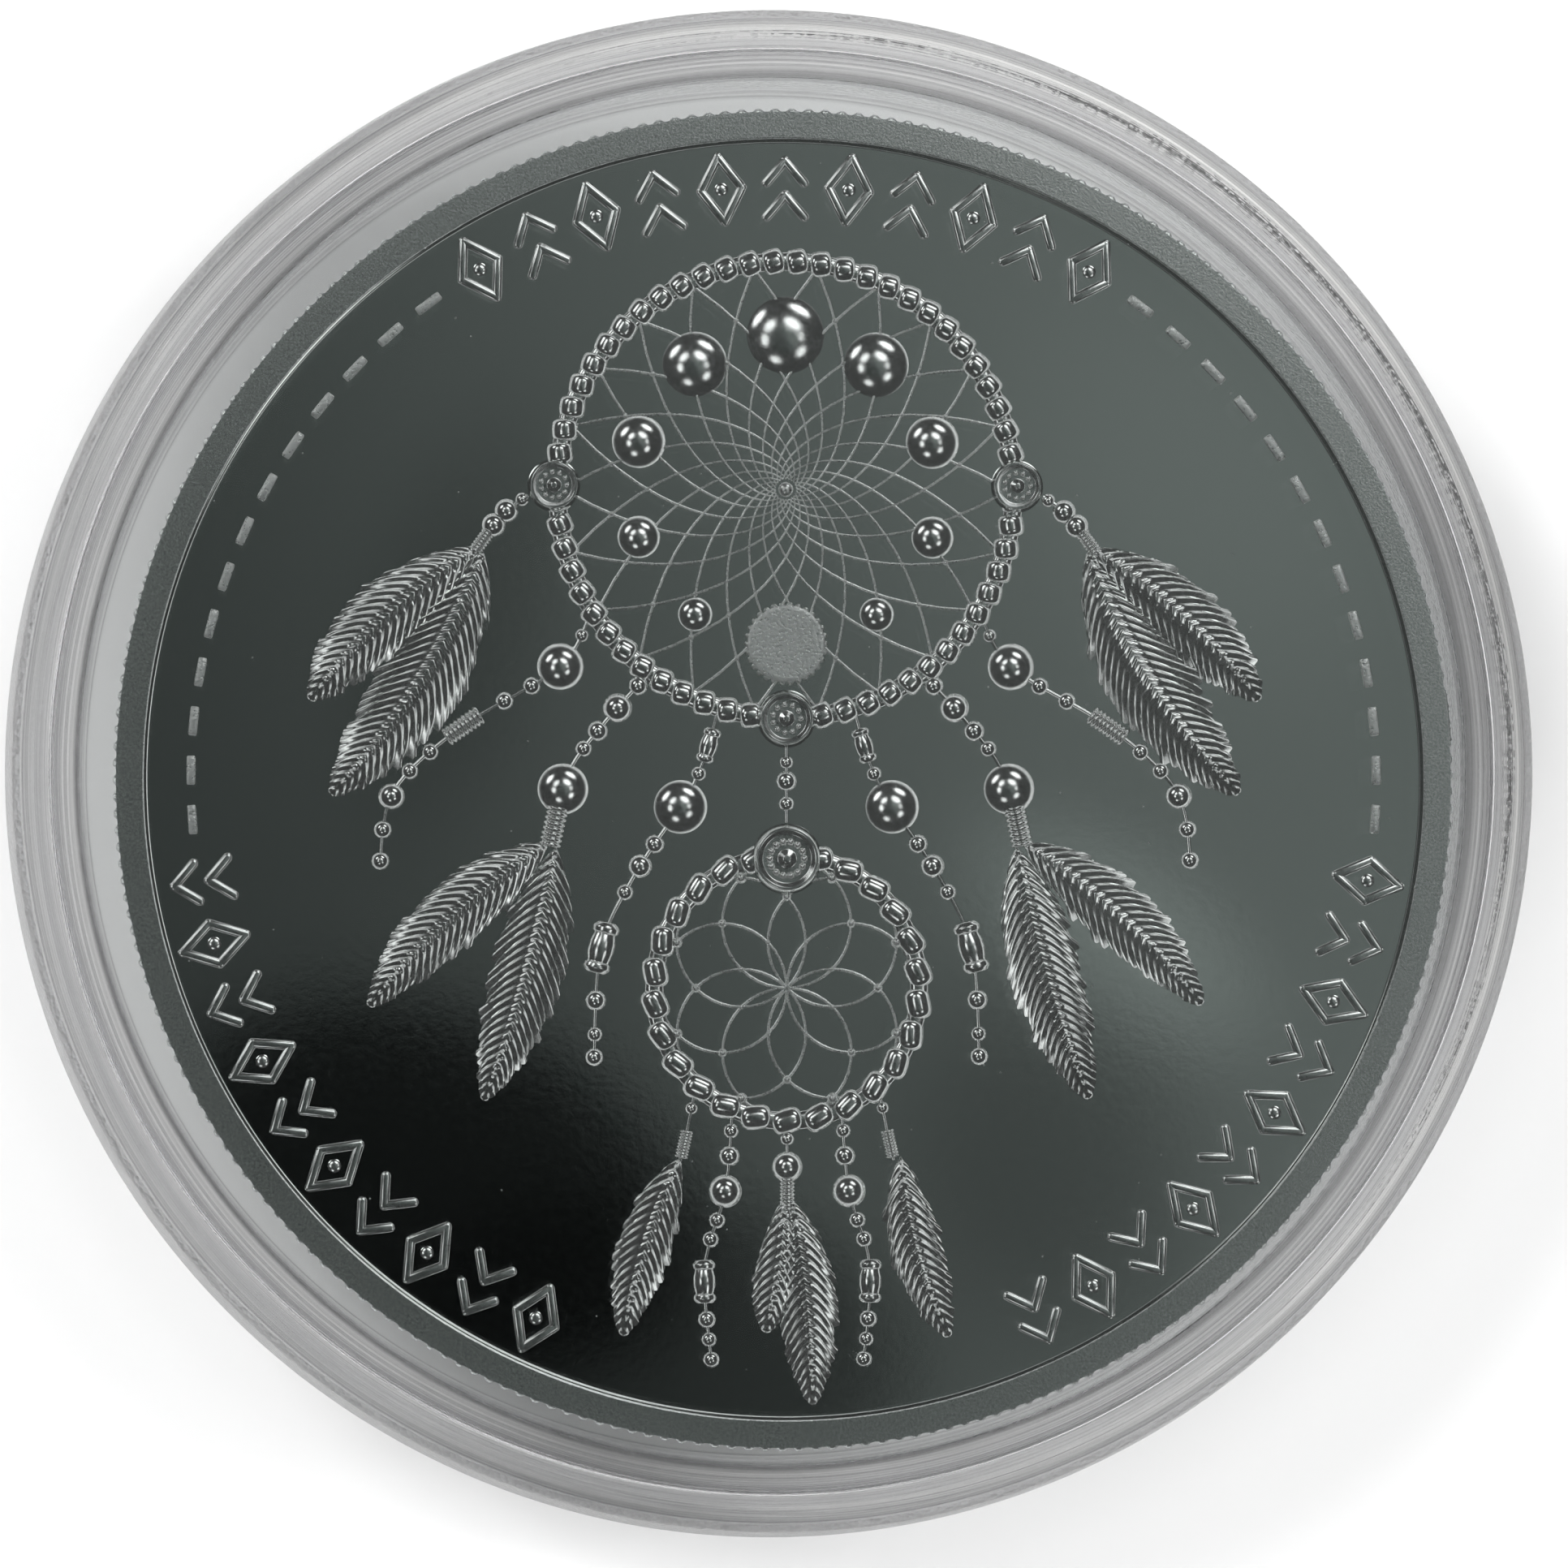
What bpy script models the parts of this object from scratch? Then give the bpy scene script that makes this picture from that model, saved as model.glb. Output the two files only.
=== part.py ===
"""A two-part press-fit coin capsule with a struck coin in it.

The capsule lies flat with its lid up: +Z is up, +Y is the top of the coin's design, and the origin is the
middle of the underside. Both shells are clear mouldings. The base has an upright seat wall that the coin
drops into with a little play, and the lid's thick skirt presses down round that wall. The lid lifts straight
off along Z, and the coin then lifts out of its seat.
"""

import math

import bmesh
import bpy
from mathutils import Matrix

MM = 0.001

# The coin
COIN_RADIUS = 19.5 * MM
COIN_THICKNESS = 2.95 * MM
COIN_RIM_WIDTH = 0.9 * MM
COIN_FIELD_DEPTH = 0.28 * MM
COIN_EDGE_BEVEL = 0.1 * MM

# Where the coin lies in its seat, slid to one side by part of the play
COIN_SHIFT_X = 0.33 * MM
COIN_SHIFT_Y = -0.24 * MM

# The capsule's fits round the coin
SEAT_PLAY = 0.65 * MM
WINDOW_CLEARANCE = 0.25 * MM
WALL_CLEARANCE = 0.1 * MM
PARTING_GAP = 0.25 * MM

# The capsule's walls
WINDOW_THICKNESS = 1.35 * MM
SEAT_WALL_THICKNESS = 0.75 * MM
WALL_CHAMFER = 0.12 * MM

# The capsule's outside
OUTER_RADIUS = 22.35 * MM
WINDOW_RADIUS = 21.1 * MM
SHOULDER_RADIUS = 21.9 * MM
SHOULDER_DROP = 0.8 * MM
SHOULDER_STEPS = 5
LIP_CHAMFER = 0.15 * MM

# The pads where each moulding was cut from its runner, by their angle about +Z
GATE_PAD_WIDTH = 1.5 * MM
GATE_PAD_DEPTH = 0.15 * MM
LID_GATE_ANGLE = math.radians(-43)
BASE_GATE_ANGLE = math.radians(192)

# Sizes that follow from the stack of floor, coin and window, and from the fits
HEIGHT = 2 * (WINDOW_THICKNESS + WINDOW_CLEARANCE) + COIN_THICKNESS
SPLIT_HEIGHT = HEIGHT / 2
COIN_BOTTOM = WINDOW_THICKNESS + WINDOW_CLEARANCE
SEAT_RADIUS = COIN_RADIUS + SEAT_PLAY
SEAT_WALL_OUTSIDE = SEAT_RADIUS + SEAT_WALL_THICKNESS
SEAT_WALL_TOP = HEIGHT - WINDOW_THICKNESS - WINDOW_CLEARANCE
SKIRT_RADIUS = SEAT_WALL_OUTSIDE + WALL_CLEARANCE
LIP_HEIGHT = SPLIT_HEIGHT - PARTING_GAP / 2

TURN_STEPS = 96
MERGE_DISTANCE = 0.00001


def clear_scene():
    """Starts from an empty scene."""
    for thing in list(bpy.data.objects):
        bpy.data.objects.remove(thing)


def make_collection(name):
    """A new collection in the scene."""
    group = bpy.data.collections.new(name)
    bpy.context.scene.collection.children.link(group)
    return group


def make_material(name, colour, roughness, metallic=0.0, alpha=1.0):
    """A Principled material with the sub-part's plain finish."""
    material = bpy.data.materials.new(name)
    material.use_nodes = True
    shader = material.node_tree.nodes["Principled BSDF"]
    shader.inputs["Base Color"].default_value = (*colour, 1.0)
    shader.inputs["Roughness"].default_value = roughness
    shader.inputs["Metallic"].default_value = metallic
    shader.inputs["Alpha"].default_value = alpha
    material.diffuse_color = (*colour, alpha)
    return material


def turned_piece(name, profile, material, group):
    """Turns a profile of (radius, height) points about the Z axis with a Screw modifier.

    The profile runs from the axis, over the top, down the outer side and back to the axis below.
    """
    mesh = bpy.data.meshes.new(name)
    outline = bmesh.new()
    points = [outline.verts.new((radius, 0.0, height)) for radius, height in profile]
    for start, end in zip(points, points[1:]):
        outline.edges.new((start, end))
    outline.to_mesh(mesh)
    outline.free()

    piece = bpy.data.objects.new(name, mesh)
    group.objects.link(piece)
    mesh.materials.append(material)

    turn = piece.modifiers.new("turn", "SCREW")
    turn.axis = "Z"
    turn.angle = math.tau
    turn.steps = TURN_STEPS
    turn.render_steps = TURN_STEPS
    turn.use_merge_vertices = True
    turn.merge_threshold = MERGE_DISTANCE
    turn.use_smooth_shade = True
    return piece


def cut_gate_pad(piece, angle, group):
    """Cuts the shallow flat pad into a shell's side at an angle about the Z axis."""
    name = piece.name + "_gate_cutter"
    mesh = bpy.data.meshes.new(name)
    block = bmesh.new()
    bmesh.ops.create_cube(block, size=1.0)
    size = (2 * GATE_PAD_DEPTH, GATE_PAD_WIDTH, 2 * HEIGHT)
    bmesh.ops.scale(block, vec=size, verts=block.verts)
    block.to_mesh(mesh)
    block.free()

    cutter = bpy.data.objects.new(name, mesh)
    group.objects.link(cutter)
    cutter.hide_render = True
    cutter.display_type = "WIRE"
    turn = Matrix.Rotation(angle, 4, "Z")
    cutter.matrix_world = turn @ Matrix.Translation((OUTER_RADIUS, 0.0, SPLIT_HEIGHT))

    cut = piece.modifiers.new("gate_pad", "BOOLEAN")
    cut.operation = "DIFFERENCE"
    cut.object = cutter


def outer_side():
    """The outside of one shell as (radius, depth below its window face), from the window's edge to the lip.

    A quarter-ellipse shoulder rounds the window's edge over, and a drafted side runs out to a chamfered lip
    at the parting line.
    """
    side = []
    for step in range(SHOULDER_STEPS + 1):
        turn = math.pi / 2 * step / SHOULDER_STEPS
        radius = WINDOW_RADIUS + (SHOULDER_RADIUS - WINDOW_RADIUS) * math.sin(turn)
        depth = SHOULDER_DROP * (1 - math.cos(turn))
        side.append((radius, depth))
    side.append((OUTER_RADIUS, LIP_HEIGHT - LIP_CHAMFER))
    side.append((OUTER_RADIUS - LIP_CHAMFER, LIP_HEIGHT))
    return side


def base_profile():
    """The base: floor, seat wall, ring top, then the outer side down to the underside."""
    inside = [
        (0.0, WINDOW_THICKNESS),
        (SEAT_RADIUS, WINDOW_THICKNESS),
        (SEAT_RADIUS, SEAT_WALL_TOP - WALL_CHAMFER),
        (SEAT_RADIUS + WALL_CHAMFER, SEAT_WALL_TOP),
        (SEAT_WALL_OUTSIDE - WALL_CHAMFER, SEAT_WALL_TOP),
        (SEAT_WALL_OUTSIDE, SEAT_WALL_TOP - WALL_CHAMFER),
        (SEAT_WALL_OUTSIDE, LIP_HEIGHT),
    ]
    outside = list(reversed(outer_side()))
    return inside + outside + [(0.0, 0.0)]


def lid_profile():
    """The lid: window face, outer side down to the lip, then up inside the skirt to the window's underside."""
    outside = [(radius, HEIGHT - depth) for radius, depth in outer_side()]
    lip = HEIGHT - LIP_HEIGHT
    ceiling = HEIGHT - WINDOW_THICKNESS
    inside = [
        (SKIRT_RADIUS + WALL_CHAMFER, lip),
        (SKIRT_RADIUS, lip + WALL_CHAMFER),
        (SKIRT_RADIUS, ceiling),
        (0.0, ceiling),
    ]
    return [(0.0, HEIGHT)] + outside + inside


def coin_profile():
    """The coin: a recessed field and a raised rim on both sides, and bevelled outer edges."""
    field = COIN_THICKNESS - COIN_FIELD_DEPTH
    inner_rim = COIN_RADIUS - COIN_RIM_WIDTH
    top = [
        (0.0, field),
        (inner_rim - COIN_FIELD_DEPTH / 2, field),
        (inner_rim, COIN_THICKNESS),
        (COIN_RADIUS - COIN_EDGE_BEVEL, COIN_THICKNESS),
        (COIN_RADIUS, COIN_THICKNESS - COIN_EDGE_BEVEL),
    ]
    bottom = [(radius, COIN_THICKNESS - height) for radius, height in reversed(top)]
    return top + bottom


clear_scene()
parts = make_collection("coin_capsule")
cutters = make_collection("cutters")
base_acrylic = make_material("base_acrylic", (0.86, 0.87, 0.88), 0.05, alpha=0.3)
lid_acrylic = make_material("lid_acrylic", (0.88, 0.89, 0.9), 0.05, alpha=0.3)
struck_silver = make_material("struck_silver", (0.6, 0.61, 0.62), 0.15, metallic=1.0)

base_shell = turned_piece("base_shell", base_profile(), base_acrylic, parts)
cut_gate_pad(base_shell, BASE_GATE_ANGLE, cutters)

lid_shell = turned_piece("lid_shell", lid_profile(), lid_acrylic, parts)
cut_gate_pad(lid_shell, LID_GATE_ANGLE, cutters)

coin = turned_piece("coin", coin_profile(), struck_silver, parts)
coin.matrix_world = Matrix.Translation((COIN_SHIFT_X, COIN_SHIFT_Y, COIN_BOTTOM))
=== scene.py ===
import math
import random

import bmesh
import bpy
from mathutils import Matrix, Vector


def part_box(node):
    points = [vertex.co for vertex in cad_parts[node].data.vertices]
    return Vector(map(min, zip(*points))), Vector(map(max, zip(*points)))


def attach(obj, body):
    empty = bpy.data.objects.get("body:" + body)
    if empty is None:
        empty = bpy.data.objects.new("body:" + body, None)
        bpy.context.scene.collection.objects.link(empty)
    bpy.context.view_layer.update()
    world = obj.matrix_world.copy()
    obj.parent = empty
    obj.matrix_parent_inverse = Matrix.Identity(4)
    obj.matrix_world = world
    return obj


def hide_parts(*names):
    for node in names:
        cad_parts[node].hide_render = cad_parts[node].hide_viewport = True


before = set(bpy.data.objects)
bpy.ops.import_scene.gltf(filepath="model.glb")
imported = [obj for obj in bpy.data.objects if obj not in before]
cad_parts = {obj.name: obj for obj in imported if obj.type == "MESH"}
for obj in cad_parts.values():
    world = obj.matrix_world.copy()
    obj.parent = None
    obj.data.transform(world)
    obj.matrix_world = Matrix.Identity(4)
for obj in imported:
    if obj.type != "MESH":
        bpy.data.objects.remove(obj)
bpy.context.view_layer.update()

mm = 0.001
fullTurn = math.tau

# places read from the frame
baseLow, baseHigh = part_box("base_shell")
coinLow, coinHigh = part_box("coin")
capsuleRadius = (baseHigh[0] - baseLow[0]) / 2
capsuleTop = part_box("lid_shell")[1][2]
splitHeight = capsuleTop / 2
coinCentre = Vector(((coinLow[0] + coinHigh[0]) / 2, (coinLow[1] + coinHigh[1]) / 2, 0))
coinRadius = (coinHigh[0] - coinLow[0]) / 2
coinFoot = coinLow[2]
coinTop = coinHigh[2]
print("stage: frame read, capsule", round(capsuleRadius * 2000, 2), "mm across")


def hexColour(code):
    # sRGB hex to the linear values that shaders take
    parts = [int(code[i:i + 2], 16) / 255 for i in (1, 3, 5)]
    linear = [p / 12.92 if p <= 0.04045 else ((p + 0.055) / 1.055) ** 2.4 for p in parts]
    return (*linear, 1.0)


def addNode(tree, kind, settings=None, links=None, values=None):
    # one node with its settings, the sockets it reads and its plain values
    node = tree.nodes.new(kind)
    for name, value in (settings or {}).items():
        setattr(node, name, value)
    for socket, source in (links or {}).items():
        tree.links.new(source, node.inputs[socket])
    for socket, value in (values or {}).items():
        node.inputs[socket].default_value = value
    return node


def newTree(name):
    material = bpy.data.materials.new(name)
    material.use_nodes = True
    material.node_tree.nodes.clear()
    return material, material.node_tree


def finishPiece(bm, name, body, materials, smoothAngle=35):
    # faces turned outward, smooth but for real edges, riding on its body
    bmesh.ops.recalc_face_normals(bm, faces=bm.faces)
    mesh = bpy.data.meshes.new(name)
    bm.to_mesh(mesh)
    bm.free()
    mesh.shade_smooth()
    mesh.set_sharp_from_angle(angle=math.radians(smoothAngle))
    for material in materials:
        mesh.materials.append(material)
    piece = bpy.data.objects.new(name, mesh)
    bpy.context.scene.collection.objects.link(piece)
    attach(piece, body)
    return piece


def roundedOutline(corners, arcSteps=6, hold=0.0):
    # corners are (radius, height, fillet radius): each fillet becomes a tangent arc, and a point held
    # close to each end of it keeps the shading of the flat beside it flat
    points = []
    for i, (r, z, fillet) in enumerate(corners):
        here = Vector((r, 0, z))
        if fillet == 0 or i in (0, len(corners) - 1):
            points.append(here)
            continue
        back = (Vector((corners[i - 1][0], 0, corners[i - 1][1])) - here).normalized()
        ahead = (Vector((corners[i + 1][0], 0, corners[i + 1][1])) - here).normalized()
        half = back.angle(ahead) / 2
        middle = here + (back + ahead).normalized() * (fillet / math.sin(half))
        start = (here + back * (fillet / math.tan(half)) - middle).normalized()
        end = (here + ahead * (fillet / math.tan(half)) - middle).normalized()
        if hold:
            points.append(middle + start * fillet + back * hold)
        for step in range(arcSteps + 1):
            points.append(middle + start.slerp(end, step / arcSteps) * fillet)
        if hold:
            points.append(middle + end * fillet + ahead * hold)
    return points


def turnOutline(bm, points, steps):
    # a full spin of an outline in the XZ plane about Z
    verts = [bm.verts.new(p) for p in points]
    edges = [bm.edges.new(pair) for pair in zip(verts, verts[1:])]
    bmesh.ops.spin(bm, geom=verts + edges, cent=(0, 0, 0), axis=(0, 0, 1), dvec=(0, 0, 0),
                   angle=fullTurn, steps=steps, use_merge=True)
    bmesh.ops.remove_doubles(bm, verts=bm.verts, dist=0.0005 * mm)
    return bm


# moulded clear acrylic (PMMA): a polished mould leaves the window glass-like; the grey and white rings
# around it are painted caustic light and shade in the border's colour, standing in for the bright and dark
# bands that light bent by the walls would throw; tones are given by the radius in millimetres
acrylic = {"ior": 1.491, "clearRoughness": 0.012, "frostTint": "#e8e8e9", "frostRoughness": 0.32,
           "sparkGrain": 0.16 * mm, "sparkBump": (0.8, 0.05 * mm), "shade": 0.88,
           # line tone and ring tones: painted caustic shade and light on the border
           "lineWidth": 0.11, "causticLineShade": "#cbcbcc", "lineBump": (0.35, 0.006 * mm), "borderFade": 0.4,
           "rings": [(19.9, "#f5f6f6"), (20.06, "#f0f1f1"), (20.17, "#acacad"), (20.32, "#f2f2f2"),
                     (20.6, "#ffffff"), (20.86, "#dadadb"), (21.08, "#ffffff"), (21.3, "#e3e3e4"),
                     (21.55, "#fffffe"), (21.82, "#e6e6e7"), (22.0, "#ffffff"), (22.2, "#ececec")]}


def mouldedAcrylic(name, frosted):
    material, tree = newTree(name)
    place = addNode(tree, "ShaderNodeTexCoord").outputs["Object"]
    strength, depth = acrylic["sparkBump" if frosted else "lineBump"]
    surface = addNode(tree, "ShaderNodeBsdfPrincipled", None, None, {
        "Base Color": hexColour(acrylic["frostTint"]), "IOR": acrylic["ior"], "Transmission Weight": 1.0,
        "Roughness": acrylic["frostRoughness" if frosted else "clearRoughness"]})
    if frosted:  # spark-eroded mould texture: soft grains that glint one by one
        grain = addNode(tree, "ShaderNodeTexVoronoi", {"feature": "F1"}, {"Vector": place},
                        {"Scale": 1 / acrylic["sparkGrain"], "Randomness": 1.0})
        bump = addNode(tree, "ShaderNodeBump", None, {"Height": grain.outputs["Distance"]},
                       {"Strength": strength, "Distance": depth})
    else:
        flat = addNode(tree, "ShaderNodeVectorMath", {"operation": "MULTIPLY"}, {0: place},
                       {1: (1 / mm, 1 / mm, 0)})
        radius = addNode(tree, "ShaderNodeVectorMath", {"operation": "LENGTH"}, {0: flat.outputs[0]})
        # painted caustic light and shade: the ramp puts grey and white rings into the colour by radius
        first, last = acrylic["rings"][0][0], acrylic["rings"][-1][0]
        share = addNode(tree, "ShaderNodeMapRange", None, {"Value": radius.outputs["Value"]},
                        {"From Min": first, "From Max": last})
        ramp = addNode(tree, "ShaderNodeValToRGB", None, {0: share.outputs[0]})
        for i, (at, tone) in enumerate(acrylic["rings"]):
            stop = ramp.color_ramp.elements[i] if i < 2 else ramp.color_ramp.elements.new(1.0)
            stop.position = (at - first) / (last - first)
            stop.color = hexColour(tone)
        # painted caustic shade: fine noise lines multiply a darker tone into the colour, and the same
        # lines raise a fine real bump
        causticShadeLines = addNode(tree, "ShaderNodeTexNoise", {"noise_dimensions": "1D"},
                        {"W": radius.outputs["Value"]},
                        {"Scale": 1 / acrylic["lineWidth"], "Detail": 2.0, "Roughness": 0.6})
        onBorder = addNode(tree, "ShaderNodeMapRange", {"interpolation_type": "SMOOTHSTEP"},
                           {"Value": radius.outputs["Value"]},
                           {"From Min": first, "From Max": first + acrylic["borderFade"]})
        sharp = addNode(tree, "ShaderNodeMapRange", None,
                        {"Value": causticShadeLines.outputs["Fac"], "To Max": onBorder.outputs[0]},
                        {"From Min": 0.5, "From Max": 0.75})
        causticShaded = addNode(tree, "ShaderNodeMix", {"data_type": "RGBA", "blend_type": "MULTIPLY"},
                        {0: sharp.outputs[0], 6: ramp.outputs["Color"]},
                        {7: hexColour(acrylic["causticLineShade"])})
        tree.links.new(causticShaded.outputs[2], surface.inputs["Base Color"])
        bump = addNode(tree, "ShaderNodeBump", None, {"Height": sharp.outputs[0]},
                       {"Strength": strength, "Distance": depth})
    tree.links.new(bump.outputs["Normal"], surface.inputs["Normal"])
    # lamps shine through the clear walls, a little dimmed
    path = addNode(tree, "ShaderNodeLightPath").outputs["Is Shadow Ray"]
    shade = acrylic["shade"]
    clearPath = addNode(tree, "ShaderNodeBsdfTransparent", None, None,
                        {"Color": (shade, shade, shade, 1)})
    mix = addNode(tree, "ShaderNodeMixShader", None,
                  {0: path, 1: surface.outputs[0], 2: clearPath.outputs[0]})
    addNode(tree, "ShaderNodeOutputMaterial", None, {"Surface": mix.outputs[0]})
    return material


# struck fine silver: polished dies leave mirror fields, grit-blasted dies leave a frosted skin
silver = {"tint": "#e9ecea", "bumpDepth": 0.02 * mm, "dustPitch": 0.9 * mm, "dustSize": 0.045,
          # for each finish its roughness, the size of its grain and the strength of its bump
          "finishes": {"mirror": (0.045, 0.25 * mm, 0.02), "relief": (0.15, 0.12 * mm, 0.03),
                       "satin": (0.28, 0.12 * mm, 0.04), "matt": (0.31, 0.09 * mm, 0.8),
                       "frost": (0.21, 0.07 * mm, 0.25)}}


def struckSilver(name, finish):
    material, tree = newTree(name)
    place = addNode(tree, "ShaderNodeTexCoord").outputs["Object"]
    rough, grainSize, strength = silver["finishes"][finish]
    grain = addNode(tree, "ShaderNodeTexNoise", None, {"Vector": place},
                    {"Scale": 1 / grainSize, "Detail": 3.0, "Roughness": 0.6})
    bump = addNode(tree, "ShaderNodeBump", None, {"Height": grain.outputs["Fac"]},
                   {"Strength": strength, "Distance": silver["bumpDepth"]})
    spread = addNode(tree, "ShaderNodeMapRange", None, {"Value": grain.outputs["Fac"]},
                     {"From Min": 0.3, "From Max": 0.7, "To Min": rough * 0.75, "To Max": rough * 1.25})
    roughness = spread.outputs["Result"]
    if finish == "mirror":  # specks of dust, drawn coarser than real ones so that they show
        dust = addNode(tree, "ShaderNodeTexVoronoi", {"feature": "F1"}, {"Vector": place},
                       {"Scale": 1 / silver["dustPitch"], "Randomness": 1.0})
        size = silver["dustSize"]
        speck = addNode(tree, "ShaderNodeMapRange", None, {"Value": dust.outputs["Distance"]},
                        {"From Min": size, "From Max": size * 0.4, "To Max": 0.45})
        roughness = addNode(tree, "ShaderNodeMath", {"operation": "MAXIMUM"},
                            {0: roughness, 1: speck.outputs["Result"]}).outputs[0]
    surface = addNode(tree, "ShaderNodeBsdfPrincipled", None,
                      {"Normal": bump.outputs["Normal"], "Roughness": roughness},
                      {"Base Color": hexColour(silver["tint"]), "Metallic": 1.0})
    addNode(tree, "ShaderNodeOutputMaterial", None, {"Surface": surface.outputs[0]})
    return material


clearAcrylic = mouldedAcrylic("moulded_clear_acrylic", False)
frostedAcrylic = mouldedAcrylic("spark_textured_acrylic", True)
mirrorSilver = struckSilver("mirror_struck_silver", "mirror")
reliefSilver = struckSilver("polished_relief_silver", "relief")
frostedSilver = struckSilver("frosted_struck_silver", "frost")
satinSilver = struckSilver("satin_struck_silver", "satin")
mattSilver = struckSilver("matt_struck_silver", "matt")
print("stage: materials made")

shell = {"window": 1.35 * mm, "seatRadius": 20.15 * mm, "wall": 0.75 * mm, "fit": 0.1 * mm,
         "partingGap": 0.12 * mm, "shoulderRadius": 21.97 * mm, "shoulder": 0.75 * mm,
         "frostStart": 21.85 * mm, "steps": 384, "arcSteps": 8, "hold": 0.03 * mm, "lipRound": 0.12 * mm,
         "gateWidth": 1.5 * mm, "gateDepth": 0.15 * mm, "lidGate": -43, "baseGate": 192}


def pressGatePad(bm, angle):
    # the flat pad left where the runner was cut off the side
    out = Vector((math.cos(math.radians(angle)), math.sin(math.radians(angle)), 0))
    across = Vector((-out.y, out.x, 0))
    limit = capsuleRadius - shell["gateDepth"]
    for vert in bm.verts:
        if abs(vert.co.dot(across)) < shell["gateWidth"] / 2 and vert.co.dot(out) > limit:
            vert.co -= out * (vert.co.dot(out) - limit)


def frostTheSide(bm):
    # the second slot is the textured side between shoulder and lip
    for face in bm.faces:
        middle = face.calc_center_median()
        face.material_index = int(middle.xy.length > shell["frostStart"])


def makeLid():
    lip = splitHeight + shell["partingGap"] / 2
    ceiling = capsuleTop - shell["window"]
    skirt = shell["seatRadius"] + shell["wall"] + shell["fit"]
    outline = roundedOutline([
        (0, capsuleTop, 0), (shell["shoulderRadius"], capsuleTop, shell["shoulder"]),
        (capsuleRadius, lip, shell["lipRound"]), (skirt, lip, shell["lipRound"]),
        (skirt, ceiling, 0.1 * mm), (0, ceiling, 0)], shell["arcSteps"], shell["hold"])
    bm = turnOutline(bmesh.new(), outline, shell["steps"])
    frostTheSide(bm)
    pressGatePad(bm, shell["lidGate"])
    piece = finishPiece(bm, "lid_clear_moulding", "lid",
                        [clearAcrylic, frostedAcrylic])
    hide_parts("lid_shell")


def makeBase():
    lip = splitHeight - shell["partingGap"] / 2
    floor = shell["window"]
    wallIn = shell["seatRadius"]
    wallOut = wallIn + shell["wall"]
    wallTop = baseHigh[2]
    outline = roundedOutline([
        (0, floor, 0), (wallIn, floor, 0.15 * mm), (wallIn, wallTop, shell["lipRound"]),
        (wallOut, wallTop, shell["lipRound"]), (wallOut, lip, 0.05 * mm),
        (capsuleRadius, lip, shell["lipRound"]), (shell["shoulderRadius"], 0, shell["shoulder"]),
        (0, 0, 0)], shell["arcSteps"], shell["hold"])
    bm = turnOutline(bmesh.new(), outline, shell["steps"])
    frostTheSide(bm)
    pressGatePad(bm, shell["baseGate"])
    piece = finishPiece(bm, "base_clear_moulding", "base",
                        [clearAcrylic, frostedAcrylic])
    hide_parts("base_shell")


makeLid()
makeBase()
print("stage: two clear shells made")

blank = {"rimWidth": 0.9 * mm, "fieldDepth": 0.28 * mm, "draft": 0.25, "reeds": 250,
         "reedDepth": 0.09 * mm, "footRound": 0.03 * mm, "rimRound": 0.05 * mm, "edgeRound": 0.1 * mm}


def makeBlank():
    thick = coinTop - coinFoot
    rim = coinRadius - blank["rimWidth"]
    depth = blank["fieldDepth"]
    field = rim - blank["draft"] * depth
    footRound, rimRound, edgeRound = blank["footRound"], blank["rimRound"], blank["edgeRound"]
    outline = roundedOutline([
        (0, thick - depth, 0), (field, thick - depth, footRound), (rim, thick, rimRound),
        (coinRadius, thick, edgeRound), (coinRadius, 0, edgeRound), (rim, 0, rimRound),
        (field, depth, footRound), (0, depth, 0)], 3, 0.015 * mm)
    stepsPerReed = 4
    bm = turnOutline(bmesh.new(), outline, blank["reeds"] * stepsPerReed)
    for vert in bm.verts:  # every reed is two steps out and two steps in
        if vert.co.xy.length > coinRadius - edgeRound / 2:
            step = round(math.atan2(vert.co.y, vert.co.x) / fullTurn * blank["reeds"] * stepsPerReed)
            if step % stepsPerReed in (2, 3):
                vert.co.xy *= 1 - blank["reedDepth"] / coinRadius
    for face in bm.faces:
        reach = face.calc_center_median().xy.length
        face.material_index = int(reach > rim)
    bmesh.ops.translate(bm, verts=bm.verts, vec=(coinCentre.x, coinCentre.y, coinFoot))
    piece = finishPiece(bm, "coin_reeded_blank", "coin",
                        [mirrorSilver, frostedSilver], 25)
    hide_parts("coin")


makeBlank()
print("stage: coin blank made")

fieldHeight = coinTop - blank["fieldDepth"]
reliefHeight = 0.25 * mm  # just under the rim, so the rim takes the wear


def onCoin(x, y, z=0.0, angle=0.0, size=(1, 1, 1)):
    # where a stamp stands: millimetres from the coin's middle, degrees about Z, size in millimetres
    place = Vector((coinCentre.x + x * mm, coinCentre.y + y * mm, fieldHeight + z * mm))
    turn = Matrix.Rotation(math.radians(angle), 4, "Z")
    return Matrix.Translation(place) @ turn @ Matrix.Diagonal((*[s * mm for s in size], 1))


def keepTemplate(bm, name):
    template = bpy.data.meshes.new(name)
    bm.to_mesh(template)
    bm.free()
    return template


def onRing(centre, radius, around):
    return centre[0] + radius * math.cos(around), centre[1] + radius * math.sin(around)


def stamp(bm, template, matrix):
    # adds one placed copy of a template to a piece
    copy = template.copy()
    copy.transform(matrix)
    bm.from_mesh(copy)
    bpy.data.meshes.remove(copy)


cap = {"lean": 50, "sunk": 0.05}  # how far round the ball it reaches, and how far its foot is sunk


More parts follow.
